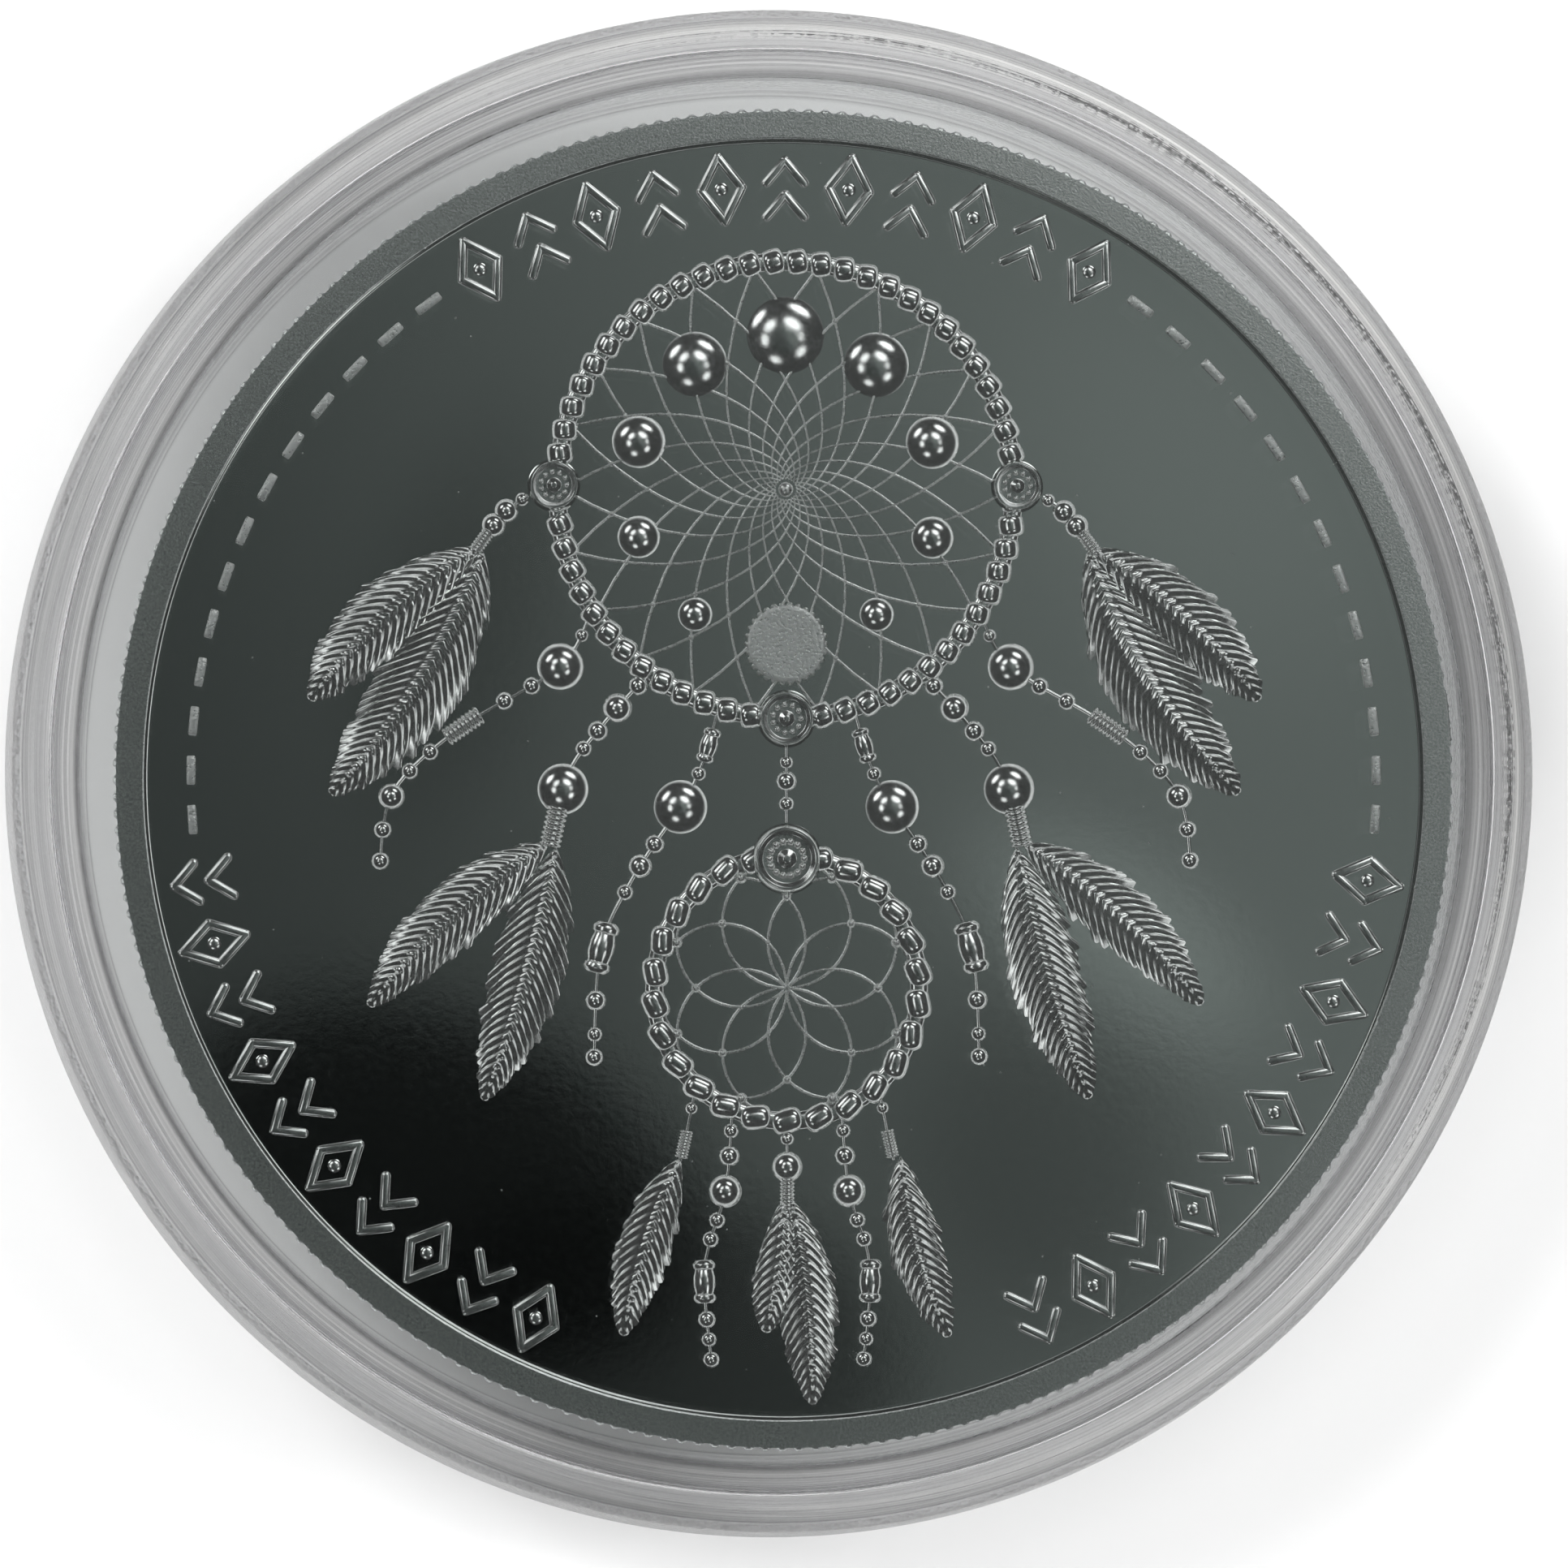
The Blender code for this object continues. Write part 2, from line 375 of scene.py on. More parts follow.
def makeCap(around, rings):
    # a cap of a ball, one unit wide and one high, cut off a little below its foot: struck relief has
    # draft, so nothing on it stands upright
    lean = math.radians(cap["lean"])
    foot = math.cos(lean)
    bm = bmesh.new()
    bmesh.ops.create_uvsphere(bm, u_segments=around, v_segments=rings, radius=1)
    cut = bmesh.ops.bisect_plane(bm, geom=bm.verts[:] + bm.edges[:] + bm.faces[:],
                                 plane_co=(0, 0, foot - cap["sunk"]), plane_no=(0, 0, 1),
                                 clear_inner=True)["geom_cut"]
    bmesh.ops.edgeloop_fill(bm, edges=[g for g in cut if isinstance(g, bmesh.types.BMEdge)])
    bmesh.ops.translate(bm, verts=bm.verts, vec=(0, 0, -foot))
    wide = 1 / math.sin(lean)
    bmesh.ops.scale(bm, verts=bm.verts, vec=(wide, wide, 1 / (1 - foot)))
    return bm


layAlongX = Matrix.Rotation(math.pi / 2, 3, "Y")


def makeBarrel():
    # a bead turned about X: rounded ends, two collars and a bulging waist
    outline = roundedOutline([
        (0, -1, 0), (0.7, -1, 0.15), (0.92, -0.8, 0.08), (0.88, -0.62, 0.05), (0.76, -0.56, 0.03),
        (1.12, 0, 1.1), (0.76, 0.56, 0.03), (0.88, 0.62, 0.05), (0.92, 0.8, 0.08), (0.7, 1, 0.15),
        (0, 1, 0)], 3)
    bm = turnOutline(bmesh.new(), outline, 20)
    bmesh.ops.rotate(bm, verts=bm.verts, cent=(0, 0, 0), matrix=layAlongX)
    bmesh.ops.recalc_face_normals(bm, faces=bm.faces)
    return keepTemplate(bm, "barrel")


def makeCoil():
    # a wire-wound bead turned about X
    turns, groove = 9, 0.82
    corners = [(0, -1, 0)]
    for turn in range(turns):
        low = -1 + 2 * turn / turns
        corners += [(groove, low, 0), (1, low + 0.7 / turns, 0), (1, low + 1.3 / turns, 0)]
    corners += [(groove, 1, 0), (0, 1, 0)]
    bm = turnOutline(bmesh.new(), roundedOutline(corners), 16)
    bmesh.ops.rotate(bm, verts=bm.verts, cent=(0, 0, 0), matrix=layAlongX)
    bmesh.ops.recalc_face_normals(bm, faces=bm.faces)
    return keepTemplate(bm, "coil")


def makeBlock():
    bm = bmesh.new()
    bmesh.ops.create_cube(bm, size=2)
    bmesh.ops.bevel(bm, geom=bm.edges[:], offset=0.25, affect="EDGES", segments=2, profile=0.5,
                    material=-1)
    return keepTemplate(bm, "block")


def makeStroke(reach):
    # a rounded bar along X, its ends moved out by a number of half widths
    bm = bmesh.new()
    bmesh.ops.create_uvsphere(bm, u_segments=12, v_segments=7, radius=1)
    bmesh.ops.rotate(bm, verts=bm.verts, cent=(0, 0, 0), matrix=layAlongX)
    for vert in bm.verts:
        vert.co.x += math.copysign(reach, vert.co.x)
    return keepTemplate(bm, "stroke")


dome = keepTemplate(makeCap(32, 32), "dome")
smallDome = keepTemplate(makeCap(12, 18), "small_dome")
block = makeBlock()
turnedBeads = {"barrel": makeBarrel(), "coil": makeCoil()}


def runWire(bm, points, radius, sides=6, taper=1.0, flat=0.8):
    # a wire through millimetre points: a ring extruded from point to point and turned to follow
    part = bmesh.new()
    places = [Vector((coinCentre.x + x * mm, coinCentre.y + y * mm, fieldHeight)) for x, y in points]
    frames = []
    for i, place in enumerate(places):
        ahead = (places[min(i + 1, len(places) - 1)] - places[max(i - 1, 0)]).normalized()
        side = ahead.cross(Vector((0, 0, 1)))
        turn = Matrix((side, Vector((0, 0, 1)), ahead)).transposed().to_4x4()
        width = radius * mm * (1 + (taper - 1) * i / (len(places) - 1))
        size = Matrix.Diagonal((width, width * flat, width, 1))
        frames.append(Matrix.Translation(place) @ turn @ size)
    ring = bmesh.ops.create_circle(part, cap_ends=True, segments=sides, radius=1)["verts"]
    bmesh.ops.transform(part, matrix=frames[0], verts=ring)
    edges = part.edges[:]
    for before, after in zip(frames, frames[1:]):
        made = bmesh.ops.extrude_edge_only(part, edges=edges)["geom"]
        ring = [g for g in made if isinstance(g, bmesh.types.BMVert)]
        edges = [g for g in made if isinstance(g, bmesh.types.BMEdge)]
        bmesh.ops.transform(part, matrix=after @ before.inverted(), verts=ring)
    bmesh.ops.edgeloop_fill(part, edges=edges)
    bmesh.ops.recalc_face_normals(part, faces=part.faces)
    template = keepTemplate(part, "wire")
    bm.from_mesh(template)
    bpy.data.meshes.remove(template)


def coinPiece(bm, name, material, smoothAngle=50):
    return finishPiece(bm, name, "coin", [material], smoothAngle)


# hoops bound with cord: a thin core and one cushion for each wrap, leaning with the lay of the cord
bigHoop = {"at": (0.0, 8.4), "radius": 6.65, "width": 0.38, "wraps": 60, "lean": 15, "height": 0.16}
smallHoop = {"at": (0.0, -6.1), "radius": 3.85, "width": 0.37, "wraps": 26, "lean": 18, "height": 0.16}
cord = {"coreWidth": 0.7, "coreHeight": 0.4, "reach": 0.51, "fullness": 0.5}  # shares of one wrap


def makeCushion():
    # a short bolster along X: straight over its middle, with ends that drop quickly
    bm = makeCap(20, 24)
    for vert in bm.verts:
        vert.co.x = math.copysign(abs(vert.co.x) ** cord["fullness"], vert.co.x)
    return keepTemplate(bm, "cushion")


def makeHoop(hoop, name):
    cushion = makeCushion()
    bm = bmesh.new()
    ring = bmesh.ops.create_circle(bm, segments=12, radius=1)["verts"]
    bmesh.ops.rotate(bm, verts=ring, cent=(0, 0, 0), matrix=Matrix.Rotation(math.pi / 2, 3, "X"))
    bmesh.ops.scale(bm, verts=ring, vec=(cord["coreWidth"] * hoop["width"] * mm, 1,
                                         cord["coreHeight"] * hoop["height"] * mm))
    bmesh.ops.translate(bm, verts=ring, vec=(hoop["radius"] * mm, 0, 0))
    bmesh.ops.spin(bm, geom=bm.verts[:] + bm.edges[:], cent=(0, 0, 0), axis=(0, 0, 1), dvec=(0, 0, 0),
                   angle=fullTurn, steps=4 * hoop["wraps"], use_merge=True)
    bmesh.ops.remove_doubles(bm, verts=bm.verts, dist=0.001 * mm)
    bmesh.ops.recalc_face_normals(bm, faces=bm.faces)
    bmesh.ops.translate(bm, verts=bm.verts, vec=onCoin(*hoop["at"]).translation)
    reach = cord["reach"] * fullTurn * hoop["radius"] / hoop["wraps"]
    for n in range(hoop["wraps"]):
        around = fullTurn * (n + 0.5) / hoop["wraps"]
        stamp(bm, cushion, onCoin(*onRing(hoop["at"], hoop["radius"], around), 0,
                                  math.degrees(around) + 90 + hoop["lean"],
                                  (reach, hoop["width"], hoop["height"])))
    coinPiece(bm, name, reliefSilver, 60)


makeHoop(bigHoop, "relief_large_hoop")
makeHoop(smallHoop, "relief_small_hoop")

# string webs: spirals both ways in the large hoop, a rosette of circles in the small one
bigWeb = {"strings": 22, "string": 0.047, "taper": 0.45, "twist": 0.60, "inner": 0.30, "inset": 0.15,
          "points": 22, "knots": 0.10, "knotFade": 0.15, "middleKnot": (0.22, 0.22, 0.08)}
smallWeb = {"petals": 8, "string": 0.050, "inset": 0.1, "knots": 0.19, "crossings": (0.383, 0.707, 0.924),
            "points": 40}
knotHeight = 0.65  # a share of the knot's half width


def makeBigWeb():
    bm = bmesh.new()
    centre = bigHoop["at"]
    reach = bigHoop["radius"] - bigWeb["inset"]
    for way in (-1, 1):
        for n in range(bigWeb["strings"]):
            start = fullTurn * n / bigWeb["strings"]
            points = []
            for step in range(bigWeb["points"] + 1):
                r = reach * (bigWeb["inner"] / reach) ** (step / bigWeb["points"])
                around = start + way * bigWeb["twist"] * math.log(reach / r)
                points.append(onRing(centre, r, around))
            runWire(bm, points, bigWeb["string"], taper=bigWeb["taper"])
    for ring in (1, 2, 3):  # knots where strings cross
        r = reach * math.exp(-ring * math.pi / bigWeb["strings"] / bigWeb["twist"])
        knot = bigWeb["knots"] * (1 - bigWeb["knotFade"] * ring)
        for n in range(bigWeb["strings"]):
            around = fullTurn * (n + ring / 2) / bigWeb["strings"]
            stamp(bm, smallDome, onCoin(*onRing(centre, r, around), size=(knot, knot, knot * knotHeight)))
    stamp(bm, smallDome, onCoin(*centre, size=bigWeb["middleKnot"]))
    coinPiece(bm, "relief_large_web", satinSilver)


def makeSmallWeb():
    bm = bmesh.new()
    centre = smallHoop["at"]
    reach = smallHoop["radius"] - smallWeb["inset"]
    for n in range(smallWeb["petals"]):
        lean = fullTurn * n / smallWeb["petals"]
        points = []
        for step in range(smallWeb["points"] + 1):
            around = lean + math.pi + fullTurn * step / smallWeb["points"]
            points.append((centre[0] + reach / 2 * (math.cos(lean) + math.cos(around)),
                           centre[1] + reach / 2 * (math.sin(lean) + math.sin(around))))
        runWire(bm, points, smallWeb["string"])
        for i, share in enumerate(smallWeb["crossings"]):
            around = lean + fullTurn / smallWeb["petals"] * (0.0 if i == 1 else 0.5)
            knot = smallWeb["knots"] * share
            stamp(bm, smallDome, onCoin(*onRing(centre, reach * share, around),
                                        size=(knot, knot, knot * knotHeight)))
    coinPiece(bm, "relief_small_web", satinSilver)


makeBigWeb()
makeSmallWeb()

# plain beads set in the large web, smaller towards the foot, and a matt disc at the foot
webBeads = {"ring": 4.5, "sizes": [1.13, 0.95, 0.78, 0.62, 0.5], "step": 36, "height": 0.34,
            "tallest": 0.262, "disc": 1.12, "discHeight": 0.13, "dots": 30, "dotSize": (0.1, 0.1, 0.12)}


def makeWebBeads():
    bm = bmesh.new()
    cx, cy = bigHoop["at"]
    for n, size in enumerate(webBeads["sizes"]):
        for side in (-1, 1) if n else (1,):
            around = math.radians(90 - side * n * webBeads["step"])
            height = min(webBeads["tallest"], size * webBeads["height"])
            stamp(bm, dome, onCoin(*onRing((cx, cy), webBeads["ring"], around), size=(size, size, height)))
    coinPiece(bm, "relief_web_beads", reliefSilver)
    outline = roundedOutline([(0, 1, 0), (1, 1, 0.1), (1, -0.2, 0), (0, -0.2, 0)], 3, 0.02)
    template = keepTemplate(turnOutline(bmesh.new(), outline, 64), "disc")
    bm = bmesh.new()
    reach, middle = webBeads["disc"], (cx, cy - webBeads["ring"])
    stamp(bm, template, onCoin(*middle, size=(reach, reach, webBeads["discHeight"])))
    for n in range(webBeads["dots"]):
        around = fullTurn * n / webBeads["dots"]
        stamp(bm, smallDome, onCoin(*onRing(middle, reach, around), size=webBeads["dotSize"]))
    coinPiece(bm, "relief_web_disc", mattSilver)


makeWebBeads()
print("stage: hoops and webs made")

# round plaques with a beaded border, each place (x, y, radius); bead sizes are shares of the radius
plaque = {"places": [(-6.75, 8.5, 0.78), (6.75, 8.5, 0.78), (0.0, 1.72, 0.86), (0.0, -2.35, 1.05)],
          "height": 0.265, "floor": 0.72, "beadRing": 0.48, "bead": 0.11, "beadHeight": 0.07}


def makePlaques():
    bm = bmesh.new()
    floor, height = plaque["floor"], plaque["height"]
    outline = roundedOutline([(0, 1.0, 0), (0.10, 1.0, 0.06), (0.26, floor, 0.04), (0.68, floor, 0.04),
                              (0.79, 1.0, 0.07), (0.86, 1.0, 0.07), (1.0, -0.2, 0), (0, -0.2, 0)], 3)
    disc = keepTemplate(turnOutline(bmesh.new(), outline, 64), "disc")
    for x, y, radius in plaque["places"]:
        stamp(bm, disc, onCoin(x, y, size=(radius, radius, height)))
        beads, half = 11 if radius < 1 else 14, radius * plaque["bead"]
        for n in range(beads):
            place = onRing((x, y), plaque["beadRing"] * radius, fullTurn * n / beads)
            stamp(bm, smallDome, onCoin(*place, floor * height, size=(half, half, plaque["beadHeight"])))
    coinPiece(bm, "relief_plaques", reliefSilver)


makePlaques()

# feathers: root x, y, way it points in degrees, length, half width, bend in degrees
feathersLeft = [(-8.9, 6.7, 222, 6.6, 1.15, 22), (-8.8, 6.6, 238, 8.3, 1.35, -26),
                (-6.9, -1.9, 222, 7.0, 1.05, 20), (-6.7, -2.0, 254, 7.6, 1.15, -12)]
feathersMiddle = [(-3.1, -11.0, 252, 5.4, 0.85, 16), (-0.1, -12.2, 262, 3.9, 0.75, -14),
                  (0.1, -12.2, 276, 6.0, 0.95, -10), (3.3, -11.0, 285, 5.4, 0.85, 22)]
feather = {"barbPitch": 0.31, "halfColumns": 8, "sweep": 1.1, "crown": 0.09, "shaft": 0.08,
           "fullest": 0.62, "bluntness": 0.75, "stub": 0.02, "ragged": (0.80, 1.0), "notch": 0.86,
           "lift": 0.01, "foot": -0.03,
           # heights across one barb: a steep edge, then a rounded fall
           "barb": (0.0, 0.029, 0.058, 0.046, 0.024)}


def makeFeather(bm, x, y, way, length, halfWidth, bend, seed):
    # a grid laid along a curved shaft: barbs are ridges swept towards the tip, ragged at their ends
    rand = random.Random(seed)
    barbs = round(length / feather["barbPitch"])
    rows, columns = barbs * len(feather["barb"]), feather["halfColumns"] * 2
    part = bmesh.new()
    bmesh.ops.create_grid(part, x_segments=rows, y_segments=columns, size=0.5)
    ragged = [[rand.uniform(*feather["ragged"]) for _ in range(barbs + 2)] for _ in range(2)]
    for vert in part.verts:
        along, across = vert.co.x + 0.5, vert.co.y * 2
        row = round(along * rows)
        barb, phase = divmod(row, len(feather["barb"]))
        notch = feather["notch"] if phase == 0 else 1.0
        edge = ragged[int(across > 0)][barb]
        shape = feather["stub"]
        if 0 < along < 1:
            shape = math.sin(math.pi * along ** feather["fullest"]) ** feather["bluntness"] + shape
        width = halfWidth * shape * (1 + (notch * edge - 1) * abs(across) ** 3)
        run = along + feather["sweep"] * halfWidth * shape * abs(across) ** 1.2 / length
        turn = math.radians(way + bend * (run - 0.5))
        middle = math.radians(way + bend * (run / 2 - 0.5))
        side = turn - math.pi / 2
        px = length * run * math.cos(middle) + across * width * math.cos(side)
        py = length * run * math.sin(middle) + across * width * math.sin(side)
        crown = feather["crown"] * (1 - abs(across) ** 2.2) * min(1, 6 * along, 5 * (1 - along) + 0.25)
        ridge = feather["barb"][phase] * (1 - 0.5 * abs(across) ** 4)
        if abs(across) < 0.01:  # the shaft's own column
            ridge = feather["shaft"]
        vert.co = (px, py, crown + ridge + feather["lift"])
    rimEdges = [e for e in part.edges if e.is_boundary]
    made = bmesh.ops.extrude_edge_only(part, edges=rimEdges)["geom"]
    for vert in [g for g in made if isinstance(g, bmesh.types.BMVert)]:
        vert.co.z = feather["foot"]
    bmesh.ops.edgeloop_fill(part, edges=[g for g in made if isinstance(g, bmesh.types.BMEdge)])
    bmesh.ops.recalc_face_normals(part, faces=part.faces)
    template = keepTemplate(part, "feather")
    stamp(bm, template, onCoin(x, y))
    bpy.data.meshes.remove(template)


def mirrored(feathers):
    return [(-x, y, 180 - way, length, half, -bend) for x, y, way, length, half, bend in feathers]


def makeFeathers(name, feathers, seed):
    bm = bmesh.new()
    for n, placed in enumerate(feathers):
        makeFeather(bm, *placed, seed + n)
    coinPiece(bm, name, reliefSilver, 35)


makeFeathers("relief_feathers_left", feathersLeft, 11)
makeFeathers("relief_feathers_right", mirrored(feathersLeft), 31)
makeFeathers("relief_feathers_middle", feathersMiddle, 51)
print("stage: feathers made")

# bead strings: a curved thread through its points, and beads (kind, share of the way, half size)
threads = [
    # from the plaques out to the upper feathers
    {"path": [(-7.5, 8.2), (-8.2, 7.7), (-8.9, 6.8)],
     "beads": [("round", 0.1, 0.2), ("round", 0.38, 0.34), ("round", 0.66, 0.34), ("coil", 0.92, 0.26)]},
    # outer hanging strings
    {"path": [(-5.7, 4.7), (-6.6, 3.2), (-9.4, 1.5), (-11.4, -0.4), (-11.8, -2.6)],
     "beads": [("round", 0.06, 0.2), ("round", 0.17, 0.68), ("round", 0.27, 0.26), ("round", 0.36, 0.26),
               ("coil", 0.5, 0.36), ("round", 0.62, 0.25), ("round", 0.7, 0.25), ("round", 0.79, 0.38),
               ("round", 0.89, 0.26), ("round", 0.98, 0.26)]},
    # to the lower feather pairs
    {"path": [(-4.0, 3.0), (-5.2, 1.7), (-6.3, 0.2), (-6.8, -1.6)],
     "beads": [("round", 0.08, 0.28), ("round", 0.24, 0.42), ("round", 0.4, 0.3), ("round", 0.52, 0.24),
               ("round", 0.76, 0.74), ("coil", 0.95, 0.4)]},
    # inner hanging strings
    {"path": [(-2.0, 1.9), (-2.7, -0.2), (-4.4, -2.8), (-5.4, -5.0), (-5.6, -8.2)],
     "beads": [("barrel", 0.09, 0.34), ("round", 0.17, 0.22), ("round", 0.27, 0.78), ("round", 0.39, 0.28),
               ("round", 0.46, 0.34), ("round", 0.54, 0.24), ("barrel", 0.7, 0.5), ("round", 0.84, 0.3),
               ("round", 0.93, 0.22), ("round", 0.99, 0.26)]},
    # from the small hoop, beside the middle feathers
    {"path": [(-1.6, -9.8), (-1.8, -12.0), (-2.4, -14.2), (-2.2, -17.0)],
     "beads": [("round", 0.06, 0.22), ("round", 0.16, 0.3), ("round", 0.3, 0.48), ("round", 0.42, 0.24),
               ("round", 0.5, 0.24), ("barrel", 0.67, 0.42), ("round", 0.82, 0.26), ("round", 0.9, 0.22),
               ("round", 0.98, 0.24)]},
    # short ties above the small side feathers
    {"path": [(-2.7, -9.2), (-2.9, -10.2), (-3.1, -11.1)],
     "beads": [("round", 0.2, 0.18), ("coil", 0.75, 0.24)]},
]
middleThreads = [
    {"path": [(0, 0.9), (0, 0.1), (0, -0.6), (0, -1.3)],
     "beads": [("round", 0.2, 0.2), ("round", 0.45, 0.3), ("round", 0.75, 0.22)]},
    {"path": [(0, -9.9), (0, -10.6), (0, -11.4), (0, -12.2)],
     "beads": [("round", 0.25, 0.2), ("round", 0.6, 0.44), ("coil", 0.95, 0.28)]},
]
threadRadius = 0.06
# how tall a bead is for its half size, and of a turned bead how deep it is sunk, and how long, how wide
# and how high it is
beadShape = {"height": 0.45, "barrel": (0.7, 1.5, 1.0, 1.5), "coil": (0.6, 1.7, 0.9, 1.5)}


def smoothPath(points, steps):
    # evenly stepped points on a Catmull-Rom curve
    ends = [Vector(p) for p in [points[0], *points, points[-1]]]
    out = []
    for a, b, c, d in zip(ends, ends[1:], ends[2:], ends[3:]):
        for step in range(steps):
            t = step / steps
            out.append(0.5 * (2 * b + (c - a) * t + (2 * a - 5 * b + 4 * c - d) * t ** 2
                              + (3 * b - a - 3 * c + d) * t ** 3))
    return [(v.x, v.y) for v in [*out, ends[-1]]]


def alongPath(points, share):
    # place and direction at a share of the path's length
    spans = [(Vector(b) - Vector(a)).length for a, b in zip(points, points[1:])]
    left = share * sum(spans)
    for (a, b), span in zip(zip(points, points[1:]), spans):
        if left <= span:
            way = Vector(b) - Vector(a)
            at = Vector(a) + way * (left / span)
            return at.x, at.y, math.degrees(math.atan2(way.y, way.x))
        left -= span
    way = Vector(points[-1]) - Vector(points[-2])
    return *points[-1], math.degrees(math.atan2(way.y, way.x))


def makeThreads(name, sets, flip):
    bm = bmesh.new()
    for thread in sets:
        path = smoothPath([(x * flip, y) for x, y in thread["path"]], 8)
        runWire(bm, path, threadRadius)
        for kind, share, half in thread["beads"]:
            x, y, angle = alongPath(path, share)
            height = min(reliefHeight / mm, half * beadShape["height"])
            if kind == "round":
                stamp(bm, dome if half > 0.3 else smallDome, onCoin(x, y, size=(half, half, height)))
            else:
                sunk, long, wide, high = beadShape[kind]
                size = (half * long, half * wide, height * high)
                stamp(bm, turnedBeads[kind], onCoin(x, y, -height * sunk, angle, size))
    coinPiece(bm, name, reliefSilver, 50)


makeThreads("relief_threads_left", threads, 1)
makeThreads("relief_threads_right", threads, -1)
makeThreads("relief_threads_middle", middleThreads, 1)
print("stage: bead strings made")

# the border: raised dashes down both sides and a plain frieze of diamonds and chevrons elsewhere
border = {"radius": 17.25, "dashFrom": 37, "dashTo": 94, "dashes": 13, "dashSize": (0.13, 0.42, 0.09),
          "strokeHalf": 0.14, "strokeHeight": 0.035, "dot": 0.2,
          # each arc runs from one angle to another with a number of figures
          "arcs": [(-31, 31, 11), (100, 155, 10), (-155, -100, 10)],
          "diamond": [((0.95, 0), (0, 0.6)), ((0, 0.6), (-0.95, 0)),
                      ((-0.95, 0), (0, -0.6)), ((0, -0.6), (0.95, 0))],
          "chevrons": [((-0.9, -0.55), (-0.25, 0)), ((-0.25, 0), (-0.9, 0.55)),
                       ((0.1, -0.55), (0.75, 0)), ((0.75, 0), (0.1, 0.55))]}


def makeBorder():
    bm = bmesh.new()
    start, end = border["dashFrom"], border["dashTo"]
    for side in (-1, 1):
        for n in range(border["dashes"]):
            turn = start + (end - start) * n / (border["dashes"] - 1)
            around = math.radians(90 - side * turn)
            stamp(bm, block, onCoin(*onRing((0, 0), border["radius"], around), 0,
                                    math.degrees(around), border["dashSize"]))
    coinPiece(bm, "relief_border_dashes", mattSilver)


def makeFrieze():
    bm = bmesh.new()
    half, height, dot = border["strokeHalf"], border["strokeHeight"], border["dot"]
    for start, end, count in border["arcs"]:
        for n in range(count):
            around = math.radians(90 - start - (end - start) * n / (count - 1))
            out = Vector((math.cos(around), math.sin(around)))
            beside = Vector((-out.y, out.x))
            middle = out * border["radius"]
            for a, b in border["diamond"] if n % 2 == 0 else border["chevrons"]:
                ends = [middle + out * x + beside * y for x, y in (a, b)]
                along = ends[1] - ends[0]
                place = (ends[0] + ends[1]) / 2
                bar = makeStroke(along.length / 2 / half)
                angle = math.degrees(math.atan2(along.y, along.x))
                stamp(bm, bar, onCoin(place.x, place.y, 0, angle, (half, half, height)))
                bpy.data.meshes.remove(bar)
            if n % 2 == 0:
                stamp(bm, smallDome, onCoin(middle.x, middle.y, size=(dot, dot, height)))
    coinPiece(bm, "relief_border_frieze", reliefSilver)


makeBorder()
makeFrieze()
print("stage: coin border made")

# the other face: a plain sunburst inside a ring of beads
reverse = {"rays": 32, "rayFrom": 4.6, "rayTo": 14.4, "rayHalf": 0.34, "shortRay": 0.72, "hub": 3.4,
           "beads": 96, "beadRing": 17.0, "bead": 0.3, "height": 0.2}


def makeReverse():
    bm = bmesh.new()
    under = Matrix.Translation((0, 0, coinFoot + coinTop)) @ Matrix.Diagonal((1, 1, -1, 1))
    height, bead, hub = reverse["height"], reverse["bead"], reverse["hub"]
    reach = (reverse["rayTo"] - reverse["rayFrom"]) / 2
    for n in range(reverse["rays"]):
        turn = 360 * n / reverse["rays"]
        out = Vector((math.cos(math.radians(turn)), math.sin(math.radians(turn))))
        length = reach * (1.0 if n % 2 == 0 else reverse["shortRay"])
        place = out * (reverse["rayFrom"] + length)
        stamp(bm, dome, onCoin(place.x, place.y, 0, turn, (length, reverse["rayHalf"], height)))
    for n in range(reverse["beads"]):
        place = onRing((0, 0), reverse["beadRing"], fullTurn * n / reverse["beads"])
        stamp(bm, smallDome, onCoin(*place, size=(bead, bead, height)))
    disc = roundedOutline([
        (0, 0.9, 0), (0.5, 0.75, 0.1), (0.6, 0.4, 0.05), (0.82, 0.4, 0.05), (0.88, 0.9, 0.05),
        (0.97, 0.8, 0.05), (1.0, -0.2, 0), (0, -0.2, 0)], 3)
    template = keepTemplate(turnOutline(bmesh.new(), disc, 64), "hub")
    stamp(bm, template, onCoin(0, 0, size=(hub, hub, height)))
    bmesh.ops.transform(bm, matrix=under, verts=bm.verts)
    coinPiece(bm, "reverse_sunburst", reliefSilver)


makeReverse()
print("stage: coin back made")

# the camera looks almost straight down, leaning a little from the lower left
view = {"distance": 0.22, "lean": 4.0, "leanFrom": 208, "frameWidth": 45.9 * mm,
        "aim": (0.36 * mm, -0.36 * mm), "sensor": 36.0}


def makeCamera():
    data = bpy.data.cameras.new("camera")
    data.type = "PERSP"
    data.sensor_width = view["sensor"]
    data.lens = data.sensor_width * (view["distance"] - splitHeight) / view["frameWidth"]
    data.clip_start = 0.005
    data.clip_end = 20
    camera = bpy.data.objects.new("camera", data)
    bpy.context.scene.collection.objects.link(camera)
    lean, side = math.radians(view["lean"]), math.radians(view["leanFrom"])
    target = Vector((*view["aim"], splitHeight))
    away = Vector((math.sin(lean) * math.cos(side), math.sin(lean) * math.sin(side), math.cos(lean)))
    camera.location = target + away * (view["distance"] - splitHeight)
    up = away.cross(Vector((1, 0, 0))).normalized()
    right = up.cross(away).normalized()
    turn = Matrix((right, up, away)).transposed().to_4x4()
    camera.matrix_world = Matrix.Translation(camera.location) @ turn
    bpy.context.scene.camera = camera
    return camera


camera = makeCamera()

